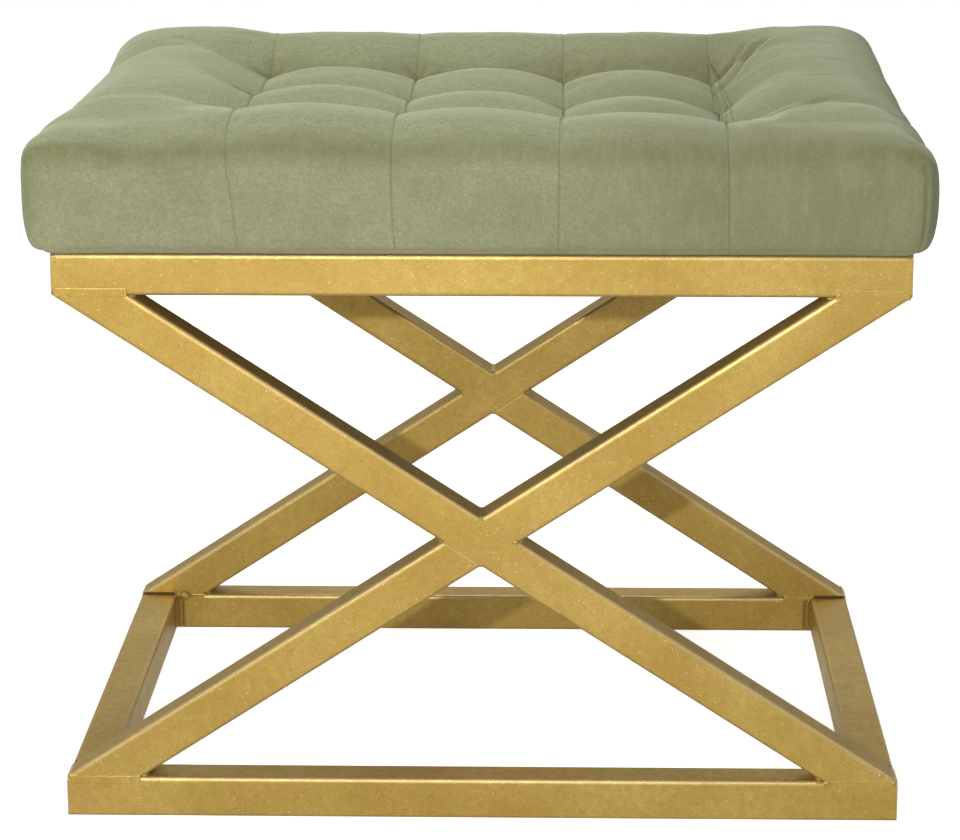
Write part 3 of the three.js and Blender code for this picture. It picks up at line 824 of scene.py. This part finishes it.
def sew(piece):
    """Cuts the seams, folds, tufts and the small unevenness of the filling into the cover."""
    points = of_vertices(piece.data, "co")
    out = of_vertices(piece.data, "normal")
    sink = np.zeros(len(points))
    facing_up = smooth((out[:, 2] - 0.1) / 0.3)
    facing_front = smooth((-out[:, 1] - 0.4) / 0.3)
    for folds, plane, facing in ((top_folds, [0, 1], facing_up), (front_folds, [0, 2], facing_front)):
        for width, path in folds:
            away, depth = from_path(points[:, plane] / MM, path)
            sink += depth * groove(away, width) * facing
    away = from_seams(points)
    visible = smooth((points[:, 2] - hem_level) / (seam_fades_over * MM))
    sink += seam_cut * visible * groove(np.abs(away), seam_half_width)
    sink -= seam_lip_height * visible * np.exp(-((away + seam_lip_away) / seam_lip_width) ** 2)
    sink += corner_seam(points)
    for x, y in tufts:
        dx, dy = points[:, 0] - x, points[:, 1] - y
        away, turn = np.hypot(dx, dy) / MM, np.arctan2(dy, dx)
        sink += facing_up * tuft_cut * np.exp(-(away / tuft_width) ** 2)
        pucker = np.cos(5 * turn + x * 31 + y * 17) + 0.6 * np.cos(9 * turn + x * 53)
        sink += facing_up * pucker_cut * pucker * np.exp(-((away - pucker_away) / pucker_width) ** 2)
    uneven = [sum(noise.noise(Vector(p) * scale) * height for scale, height in filling_lumps) for p in points]
    sink += np.array(uneven) * smooth((points[:, 2] - hem_level) / (lumps_fade_over * MM))
    points -= out * sink[:, None] * MM
    clear_ties(points)
    set_coordinates(piece.data, points)


def seam_rays(column):
    """Rays onto a seam, each with its start and way: up the front, over the top and down the back."""
    edge, off = stitches_turn_at * MM, ray_start * MM
    levels = np.arange(hem_level + stitches_above_hem * MM, cover_high.z - edge, ray_pitch * MM)
    depths = np.arange(cover_low.y + edge, cover_high.y - edge, ray_pitch * MM)
    rays = []
    for z in levels:
        x = seam_line(column, np.array([cover_low.y]), np.array([z]))[0]
        rays.append(((x, cover_low.y - off, z), (0, 1, 0)))
    for y in depths:
        x = seam_line(column, np.array([y]), np.array([seam_levels[-1] * MM]))[0]
        rays.append(((x, y, cover_high.z + off), (0, 0, -1)))
    return rays + [((column, cover_high.y + off, z), (0, -1, 0)) for z in levels[::-1]]


def thread(ring):
    """One stitch: it comes up through the velvet, lies along the seam and goes down again. Millimetres."""
    points = []
    for k, (place, out, lift) in enumerate(ring):
        ahead = (ring[min(k + 1, len(ring) - 1)][0] - ring[max(k - 1, 0)][0]).normalized()
        side = ahead.cross(out).normalized()
        up = side.cross(ahead)
        centre = place + up * lerp(stitch_root, stitch_crest, min(lift * 1.4, 1))
        for n in range(stitch_sides):
            turn = 2 * math.pi * n / stitch_sides
            points.append((centre + (side * math.cos(turn) + up * math.sin(turn)) * stitch_radius) * MM)
    return points, tube_faces(len(ring), stitch_sides)


def add_stitches(cushion, surface):
    """The machine's stitches, which lie in the four column seams from the front hem over the top to the back hem."""
    cover = BVHTree.FromObject(cushion, bpy.context.evaluated_depsgraph_get())
    parts = []
    for column in tuft_columns:
        hits = [cover.ray_cast(Vector(start), Vector(way))[:2] for start, way in seam_rays(column)]
        hits = [(place / MM, out) for place, out in hits if place is not None]
        run = np.array([0] + [(b[0] - a[0]).length for a, b in zip(hits, hits[1:])]).cumsum()
        for start in np.arange(1, run[-1] - stitch_pitch, stitch_pitch):
            ring = []
            for t in stitch_places:
                k = int(np.searchsorted(run, start + t * stitch_length)) - 1
                share = (start + t * stitch_length - run[k]) / max(run[k + 1] - run[k], 1e-6)
                place = hits[k][0].lerp(hits[k + 1][0], share)
                ring.append((place, hits[k][1], 4 * t * (1 - t)))
            parts.append(thread(ring))
    closed_piece("seam_stitches", parts, surface)


def make_filling(surface):
    """The foam under the velvet: the cushion's own form, less the wadding, its roll drawn in to the foam's size."""
    points, faces = cushion_mesh(cell_steps=8, roll_steps=5, tuck_steps=4)
    low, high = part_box("foam_block")
    flat = np.clip(points[:, :2], (flat_left, flat_front), (flat_right, flat_back))
    points[:, :2] = flat + (points[:, :2] - flat) * (high.y - flat_back) / roll_width
    points[:, 2] = np.maximum(points[:, 2] - wadding, low.z)
    piece = add_piece("foam_filling", points, faces.tolist(), surface)
    turn_faces_out(piece, close=True)
    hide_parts("foam_block")


def make_cushion(surface):
    """The velvet cushion. Its underside lies flat on the frame."""
    points, faces = cushion_mesh(cell_steps=24, roll_steps=12, tuck_steps=8)
    piece = add_piece("velvet_cushion", points, faces.tolist(), surface)
    puff(piece)
    piece.modifiers.new("finer", "SUBSURF").levels = 1
    apply_modifiers(piece)
    sew(piece)
    turn_faces_out(piece, close=True)
    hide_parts("velvet_cover")
    return piece


# Welds, in millimetres: strips ground flush over the frame's joints, beads in its corners, and lumps beside them.

rail_low, rail_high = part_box("front_bottom_rail")
top_rail_low, top_rail_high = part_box("front_top_rail")
half_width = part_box("left_bottom_rail")[0].x / -MM
half_depth = rail_low.y / -MM
tube = (rail_high.z - rail_low.z) / MM
inner_depth = half_depth - tube
inner_width = half_width - tube
rail_top = rail_high.z / MM
rail_under = top_rail_low.z / MM
frame_top = top_rail_high.z / MM
crossing_height = (rail_top + rail_under) / 2
brace_slope = math.radians(33.1)
brace_rise = tube / 2 / math.cos(brace_slope)
brace_run = tube / 2 / math.sin(brace_slope)
crotch_x = (rail_under - crossing_height - brace_rise) / math.tan(brace_slope)
frames = (("front", -1, 1), ("back", 1, -1))

# Every weld is swept in steps and thins towards its ends.
sweep_step = 0.9
taper_start, taper_length = 0.45, 2.5

strip_width, strip_height = 3, 0.02
strip_root, strip_rim = 0.5, 0.012
strip_wobble = 0.05
strip_inset = 1.9
strip_end = 1.2
edge_strip_width, edge_strip_inset = 1.6, 2.15
cut_strip_width, cut_strip_start = 1.9, -1.5
side_strip_inset = 0.15

bead_root = 0.4
crotch_inset = 1.6
crotch_wobble = 0.3
corner_leg, corner_fullness, corner_wobble = 4.8, 0.56, 0.2
corner_bead_outer_end, corner_bead_inner_end = 1.6, 1.5
corner_rim_width, corner_rim_height = 0.8, 0.4
corner_rim_away = (5.2, 5)
# The open joint's dark strip, a painted shadow of its gap: its section, its rise over the rail, its ends and its
# wobble.
open_joint_section = ((-0.9, -0.3), (0.9, -0.3), (0.9, 0.12), (-0.9, 0.12))
open_joint_rise = 0.8
open_joint_ends = (1, 1.5)
open_joint_wobble = 0.1


def sweep(start, end, first, second, profile, wobble, seed):
    """A bead along a line, with its section given along two directions. Gives points and faces."""
    start, end, first, second = (Vector(v) for v in (start, end, first, second))
    length = (end - start).length
    steps = max(4, round(length / sweep_step))
    points = []
    for k in range(steps + 1):
        t = k / steps
        s = t * length
        taper = min(1, taper_start + min(s, length - s) / taper_length)
        size = taper * (1 + wobble * noise.noise(Vector((s * 0.31, seed * 7.3, 0))))
        ripple = 1 + 0.4 * wobble * noise.noise(Vector((s * 1.1, seed * 3.1, 5)))
        for a, b in profile:
            out = size * ripple if a + b > 0 else 1
            points.append((start + (end - start) * t + first * a * out + second * b * out) * MM)
    return points, tube_faces(steps + 1, len(profile))


def flush_strip(start, end, out, width=strip_width, height=strip_height, seed=0.0):
    """A strip ground level with the face that it lies on."""
    along = (Vector(end) - Vector(start)).normalized()
    across = along.cross(Vector(out))
    crown = [(width * u, height * (1 - u * u)) for u in (0.7, 0.4, 0, -0.4, -0.7)]
    root = [(-width, -strip_root), (width, -strip_root)]
    profile = [*root, (width, -strip_rim), *crown, (-width, -strip_rim)]
    return sweep(start, end, across, out, profile, strip_wobble, seed)


def corner_bead(start, end, first, second, leg, fullness, wobble, seed):
    """A bead in a corner, from one face to the other. Fullness is 0.7 for a flat one, less for a hollow one."""
    arc = []
    for k in range(7):
        t = k / 6
        reach = leg * lerp(1, fullness, math.sin(math.pi * t))
        arc.append((reach * math.cos(quarter * t), reach * math.sin(quarter * t)))
    profile = [(-bead_root, -bead_root), (leg, -bead_root), *arc, (-bead_root, leg)]
    return sweep(start, end, first, second, profile, wobble, seed)


def lump(centre, size, seed):
    """A drop of weld metal under the paint. Its size is given as half sizes."""
    shell = bmesh.new()
    bmesh.ops.create_icosphere(shell, subdivisions=3, radius=1)
    points = []
    for vertex in shell.verts:
        grown = 1 + 0.35 * noise.noise(vertex.co * 1.7 + Vector((seed * 5.1, seed * 2.3, 0)))
        points.append(Vector([c + r * v * grown for c, r, v in zip(centre, size, vertex.co)]) * MM)
    faces = [tuple(v.index for v in face.verts) for face in shell.faces]
    shell.free()
    return points, faces


def face_strips(y, out, falls):
    """The ground joints on one upright face of an X frame. falls is 1 where the through brace falls to the right."""
    facing = (0, out, 0)
    low, high = rail_top - strip_inset, rail_under + strip_inset
    parts = []
    for sx in (-1, 1):
        for z in (low, high):
            ends = (sx * (half_width - 1), y, z), (sx * (crotch_x + 1), y, z)
            parts.append(flush_strip(*ends, facing, seed=sx + z))
        edge = sx * (half_width - edge_strip_inset)
        for bottom, top, own_seed in ((strip_end, low, 3), (high, frame_top - strip_end, 4)):
            ends = (edge, y, bottom), (edge, y, top)
            parts.append(flush_strip(*ends, facing, edge_strip_width, seed=sx + own_seed))
    slope = math.tan(brace_slope)
    for side in (-1, 1):
        z = crossing_height + side * (brace_rise - edge_strip_inset)
        run = (cut_strip_start, brace_run - strip_end)
        ends = [(side * falls * x, y, z - side * slope * x) for x in run]
        parts.append(flush_strip(*ends, facing, cut_strip_width, seed=side + 9))
    return parts


def crotch_beads(y_low, y_high, seed):
    """The beads in the sharp inner corners of an X frame, which run through its depth."""
    along, rise = math.cos(brace_slope), math.sin(brace_slope)

    def bead(x, z, first, second, leg, fullness, own_seed):
        return corner_bead((x, y_low, z), (x, y_high, z), first, second, leg, fullness, crotch_wobble, own_seed)

    parts = []
    for sx in (-1, 1):
        for z, up in ((rail_under, 1), (rail_top, -1)):
            walls = (-sx, 0, 0), (-sx * along, 0, -up * rise)
            parts.append(bead(sx * crotch_x, z, *walls, 3.2, 0.8, seed + sx + up))
        walls = (sx * along, 0, rise), (sx * along, 0, -rise)
        parts.append(bead(sx * brace_run, crossing_height, *walls, 1.9, 0.8, seed + sx * 3))
        walls = (along, 0, sx * rise), (-along, 0, sx * rise)
        parts.append(bead(0, crossing_height + sx * brace_rise, *walls, 1.6, 0.75, seed + sx * 5))
    return parts


def side_strips(sx):
    """The ground joints on one side of the stool, where its side rails meet the X frames."""
    parts = []
    for sy in (-1, 1):
        y = sy * (inner_depth - side_strip_inset)
        for low, high in ((strip_end, rail_top - strip_end), (rail_under + strip_end, frame_top - strip_end)):
            ends = (sx * half_width, y, low), (sx * half_width, y, high)
            parts.append(flush_strip(*ends, (sx, 0, 0), seed=sx + low))
    return parts


def add_corner_welds(side, sx, end, sy, painted_corner_shade, painted_gap_shadow):
    """The beads in one corner of the stool, where a side rail meets an X frame, and beside them a dark strip that is
    a painted shadow of the open joint's gap.
    """
    x, y = sx * inner_width, sy * inner_depth
    wall, rail = (-sx, 0, 0), (0, -sy, 0)
    bottom = ("bottom", corner_bead_outer_end, rail_top - corner_bead_inner_end)
    top = ("top", rail_under + corner_bead_inner_end, frame_top - corner_bead_outer_end)
    for level, low, high in (bottom, top):
        seed = sx * 2 + sy * 5 + low
        root = (x, y, low), (x, y, high)
        rim = (x - sx * corner_rim_away[0], y, low), (x - sx * corner_rim_away[1], y, high)
        parts = [
            corner_bead(*root, wall, rail, corner_leg, corner_fullness, corner_wobble, seed),
            flush_strip(*rim, rail, corner_rim_width, corner_rim_height, seed + 1),
        ]
        piece = closed_piece(f"{level}_{end}_{side}_bead", parts, painted_corner_shade)
        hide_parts(f"weld_{level}_{end}_{side}")
    # A dark strip a little proud of the face, in place of the open joint's gap: a painted shadow.
    gap_z = rail_top + open_joint_rise
    gap = [(sx * gap_x, y, gap_z) for gap_x in (inner_width + open_joint_ends[0], half_width - open_joint_ends[1])]
    parts = [sweep(*gap, (0, 0, 1), rail, open_joint_section, open_joint_wobble, sx + sy)]
    closed_piece(f"{end}_{side}_open_joint", parts, painted_gap_shadow)


def add_lumps(surface):
    """The lumps of weld metal left on the tubes, each with its centre and its size."""
    back, front = inner_depth - 0.4, -half_depth - 0.1
    lumps = (
        ((210.5, front, 24.6), (2.3, 0.8, 1.3)), ((206.2, front, 25), (1.5, 0.6, 0.8)),
        ((243.3, front, 29.4), (2, 0.9, 1.3)), ((251.3, front + 0.4, 25), (2.1, 1.1, 1.5)),
        ((-222.5, back - 0.6, 24.6), (3.9, 2, 2.8)), ((-229.4, back, 27.4), (1.1, 0.9, 1.9)),
        ((-213, back, 25.4), (6.5, 1, 1.1)), ((229.6, back, 26.4), (1.3, 1.1, 1.5)),
        ((227.4, back, 22.8), (1.3, 1.1, 1.8)), ((-243.6, front, 327.4), (0.9, 0.25, 0.7)),
        ((20.6, front, 176.6), (1.6, 0.6, 1.3)), ((26.4, back + 0.3, 177.6), (1.2, 0.7, 1)),
        ((211, front, 328.6), (1.4, 0.5, 1.1)), ((224, front + 0.1, 26.8), (0.6, 0.35, 0.5)),
        ((-190.5, front + 0.1, 327.8), (0.5, 0.3, 0.5)), ((-200.4, -179, 326.4), (2, 1, 0.9)),
    )
    parts = [lump(centre, size, n * 1.37) for n, (centre, size) in enumerate(lumps)]
    closed_piece("weld_lumps", parts, surface)


def add_welds(surface, painted_corner_shade, painted_gap_shadow):
    for name, sy, falls in frames:
        outer, inner = sy * half_depth, sy * inner_depth
        strips = face_strips(outer, sy, falls) + face_strips(inner, -sy, falls)
        closed_piece(f"{name}_ground_welds", strips, surface)
        low, high = sorted((outer - sy * crotch_inset, inner + sy * crotch_inset))
        closed_piece(f"{name}_crotch_welds", crotch_beads(low, high, sy * 2.0), surface)
    for side, sx in (("left", -1), ("right", 1)):
        closed_piece(f"{side}_ground_welds", side_strips(sx), surface)
        for end, sy in (("front", -1), ("back", 1)):
            add_corner_welds(side, sx, end, sy, painted_corner_shade, painted_gap_shadow)
    add_lumps(surface)


add_camera()
add_world()
add_floor()
add_lamps()

gold = gold_paint("gold_paint", True)
weld_gold = gold_paint("gold_paint_on_welds", False)
# The corner beads' paint is darkened as a painted shade of the corners.
corner_gold = gold_paint("gold_paint_in_corners", False, painted_corner_shade=0.4)
sage = velvet()
foam = plain_material("foam", (214, 200, 150), (236, 224, 180), 900, 0.9, bump=0.6 * MM)
plywood = plain_material("plywood", (168, 128, 80), (206, 170, 118), 60, 0.7, stretch=(0.2, 2, 8))
zinc = plain_material("zinc_steel", (150, 152, 156), (196, 198, 202), 700, 0.35, metallic=0.9, bump=0.05 * MM)
twine = plain_material("twine", (170, 155, 120), (216, 204, 170), 900, 0.9, stretch=(1, 1, 2))
thread_sage = plain_material("thread", (124, 126, 92), (156, 158, 122), 900, 0.8)
# Dark brown for the open joints' strips: a painted shadow of their gaps.
painted_gap_shadow = plain_material("painted_joint_shadow", (58, 38, 12), (112, 80, 32), 900, 0.7, metallic=0.2)
black_cloth = plain_material("dust_cloth", (26, 19, 11), (46, 35, 22), 1200, 0.95)

surfaces = {
    "foam_block": foam,
    "seat_board": plywood,
    "dust_cloth": black_cloth,
    "tuft_tie": twine,
    "seat_screw": zinc,
    "seat_washer": zinc,
}

for name, node in nodes.items():
    found = next((s for start, s in surfaces.items() if name.startswith(start)), gold)
    node.data.materials.clear()
    node.data.materials.append(found)

add_welds(weld_gold, corner_gold, painted_gap_shadow)
make_filling(foam)
cushion = make_cushion(sage)
add_stitches(cushion, thread_sage)

bpy.context.scene.view_settings.view_transform = "Standard"
